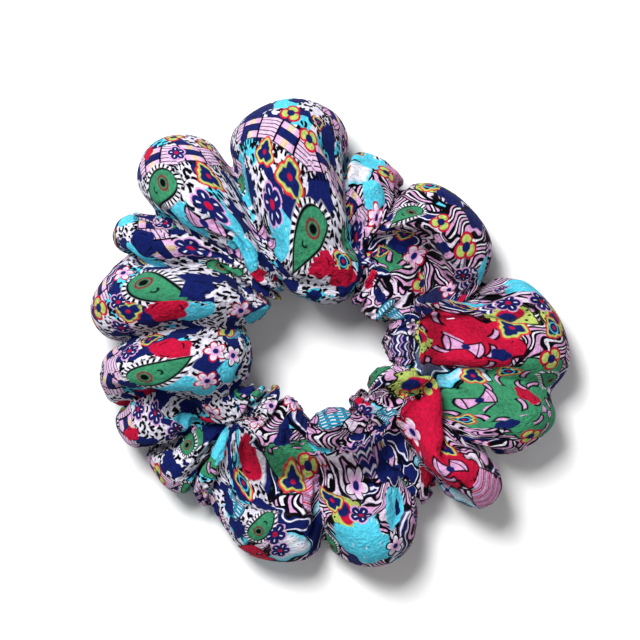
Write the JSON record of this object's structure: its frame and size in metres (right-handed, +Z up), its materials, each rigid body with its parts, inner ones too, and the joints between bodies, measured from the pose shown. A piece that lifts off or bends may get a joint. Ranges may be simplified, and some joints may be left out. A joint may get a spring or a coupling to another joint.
{
  "type": "scrunchie",
  "caption": "Gathered fabric hair scrunchie: a printed crepe sleeve drawn into puffs on a loop of flat elastic, lying flat, with joints that let the ring stretch open.",
  "frame": {"origin": "on the surface that the scrunchie lies on, under the centre of its bounding box; the hair hole's centre is 3.6 mm towards -X and 4.0 mm towards -Y of it", "axes": "+Z up through the hair hole, across the flattened ring; +X along the outline's longest extent, which leaves the hole towards the closing seam"},
  "size_m": [0.1162, 0.1136, 0.0309],
  "materials": {
    "printed_crepe": "matt pebbled crepe cloth with an all-over multicolour print on a pale lilac-white ground",
    "elastic_band": "matt knitted flat elastic, off-white, ribbed lengthwise",
    "sewing_thread": "twisted polyester thread with a slight sheen"
  },
  "bodies": {
    "seam_start_side": {"sleeve_puff_start": "printed_crepe", "elastic_run_start": "elastic_band", "long_seam_thread_start": "sewing_thread", "closing_seam_thread": "sewing_thread"},
    "puff_01": {"sleeve_puff_01": "printed_crepe", "elastic_run_01": "elastic_band", "long_seam_thread_01": "sewing_thread"},
    "puff_02": {"sleeve_puff_02": "printed_crepe", "elastic_run_02": "elastic_band", "long_seam_thread_02": "sewing_thread"},
    "puff_03": {"sleeve_puff_03": "printed_crepe", "elastic_run_03": "elastic_band", "long_seam_thread_03": "sewing_thread"},
    "puff_04": {"sleeve_puff_04": "printed_crepe", "elastic_run_04": "elastic_band", "long_seam_thread_04": "sewing_thread"},
    "puff_05": {"sleeve_puff_05": "printed_crepe", "elastic_run_05": "elastic_band", "long_seam_thread_05": "sewing_thread"},
    "puff_06": {"sleeve_puff_06": "printed_crepe", "elastic_run_06": "elastic_band", "long_seam_thread_06": "sewing_thread"},
    "puff_07": {"sleeve_puff_07": "printed_crepe", "elastic_run_07": "elastic_band", "long_seam_thread_07": "sewing_thread"},
    "puff_08": {"sleeve_puff_08": "printed_crepe", "elastic_run_08": "elastic_band", "long_seam_thread_08": "sewing_thread"},
    "puff_09": {"sleeve_puff_09": "printed_crepe", "elastic_run_09": "elastic_band", "long_seam_thread_09": "sewing_thread"},
    "puff_10": {"sleeve_puff_10": "printed_crepe", "elastic_run_10": "elastic_band", "long_seam_thread_10": "sewing_thread"},
    "puff_11": {"sleeve_puff_11": "printed_crepe", "elastic_run_11": "elastic_band", "long_seam_thread_11": "sewing_thread"},
    "puff_12": {"sleeve_puff_12": "printed_crepe", "elastic_run_12": "elastic_band", "long_seam_thread_12": "sewing_thread"},
    "puff_13": {"sleeve_puff_13": "printed_crepe", "elastic_run_13": "elastic_band", "long_seam_thread_13": "sewing_thread"},
    "puff_14": {"sleeve_puff_14": "printed_crepe", "elastic_run_14": "elastic_band", "long_seam_thread_14": "sewing_thread"},
    "seam_end_side": {"sleeve_puff_end": "printed_crepe", "elastic_run_end": "elastic_band", "elastic_inner_end": "elastic_band", "elastic_outer_end": "elastic_band", "elastic_tack_inner": "sewing_thread", "elastic_tack_outer": "sewing_thread", "long_seam_thread_end": "sewing_thread"}
  },
  "joints": [
    {"name": "ring_stretch", "type": "slide", "parent": "seam_start_side", "child": "puff_01", "axis": [-0.284, 0.9588, 0], "range_m": [0, 0.02679], "stiffness_N_per_m": 196},
    {"name": "ring_stretch_02", "type": "slide", "parent": "puff_01", "child": "puff_02", "axis": [-0.809, 0.5878, 0], "range_m": [0, 0.01814], "stiffness_N_per_m": 289.8},
    {"name": "ring_stretch_03", "type": "slide", "parent": "puff_02", "child": "puff_03", "axis": [-0.9931, 0.1175, 0], "range_m": [0, 0.01726], "stiffness_N_per_m": 304.7},
    {"name": "ring_stretch_04", "type": "slide", "parent": "puff_03", "child": "puff_04", "axis": [-0.9239, -0.3827, 0], "range_m": [0, 0.01814], "stiffness_N_per_m": 289.8},
    {"name": "ring_stretch_05", "type": "slide", "parent": "puff_04", "child": "puff_05", "axis": [-0.6788, -0.7343, 0], "range_m": [0, 0.01188], "stiffness_N_per_m": 442.9},
    {"name": "ring_stretch_06", "type": "slide", "parent": "puff_05", "child": "puff_06", "axis": [-0.3987, -0.9171, 0], "range_m": [0, 0.01158], "stiffness_N_per_m": 454.4},
    {"name": "ring_stretch_07", "type": "slide", "parent": "puff_06", "child": "puff_07", "axis": [-0.0567, -0.9984, 0], "range_m": [0, 0.01308], "stiffness_N_per_m": 402.1},
    {"name": "ring_stretch_08", "type": "slide", "parent": "puff_07", "child": "puff_08", "axis": [0.2714, -0.9625, 0], "range_m": [0, 0.01007], "stiffness_N_per_m": 522.7},
    {"name": "ring_stretch_09", "type": "slide", "parent": "puff_08", "child": "puff_09", "axis": [0.541, -0.841, 0], "range_m": [0, 0.01067], "stiffness_N_per_m": 493},
    {"name": "ring_stretch_10", "type": "slide", "parent": "puff_09", "child": "puff_10", "axis": [0.766, -0.6428, 0], "range_m": [0, 0.01037], "stiffness_N_per_m": 507.4},
    {"name": "ring_stretch_11", "type": "slide", "parent": "puff_10", "child": "puff_11", "axis": [0.9351, -0.3543, 0], "range_m": [0, 0.01308], "stiffness_N_per_m": 402.1},
    {"name": "ring_stretch_12", "type": "slide", "parent": "puff_11", "child": "puff_12", "axis": [0.9979, 0.0654, 0], "range_m": [0, 0.01666], "stiffness_N_per_m": 315.5},
    {"name": "ring_stretch_13", "type": "slide", "parent": "puff_12", "child": "puff_13", "axis": [0.8988, 0.4384, 0], "range_m": [0, 0.01037], "stiffness_N_per_m": 507.4},
    {"name": "ring_stretch_14", "type": "slide", "parent": "puff_13", "child": "puff_14", "axis": [0.749, 0.6626, 0], "range_m": [0, 0.00856], "stiffness_N_per_m": 615.4},
    {"name": "ring_stretch_15", "type": "slide", "parent": "puff_14", "child": "seam_end_side", "axis": [0.4027, 0.9153, 0], "range_m": [0, 0.02137], "stiffness_N_per_m": 246}
  ],
  "couplings": [
    {"joint": "ring_stretch_02", "follows": "ring_stretch", "ratio": 0.67633},
    {"joint": "ring_stretch_03", "follows": "ring_stretch", "ratio": 0.64323},
    {"joint": "ring_stretch_04", "follows": "ring_stretch", "ratio": 0.67633},
    {"joint": "ring_stretch_05", "follows": "ring_stretch", "ratio": 0.44253},
    {"joint": "ring_stretch_06", "follows": "ring_stretch", "ratio": 0.43129},
    {"joint": "ring_stretch_07", "follows": "ring_stretch", "ratio": 0.48741},
    {"joint": "ring_stretch_08", "follows": "ring_stretch", "ratio": 0.37496},
    {"joint": "ring_stretch_09", "follows": "ring_stretch", "ratio": 0.39752},
    {"joint": "ring_stretch_10", "follows": "ring_stretch", "ratio": 0.38625},
    {"joint": "ring_stretch_11", "follows": "ring_stretch", "ratio": 0.48741},
    {"joint": "ring_stretch_12", "follows": "ring_stretch", "ratio": 0.6211},
    {"joint": "ring_stretch_13", "follows": "ring_stretch", "ratio": 0.38625},
    {"joint": "ring_stretch_14", "follows": "ring_stretch", "ratio": 0.31846},
    {"joint": "ring_stretch_15", "follows": "ring_stretch", "ratio": 0.79665}
  ]
}
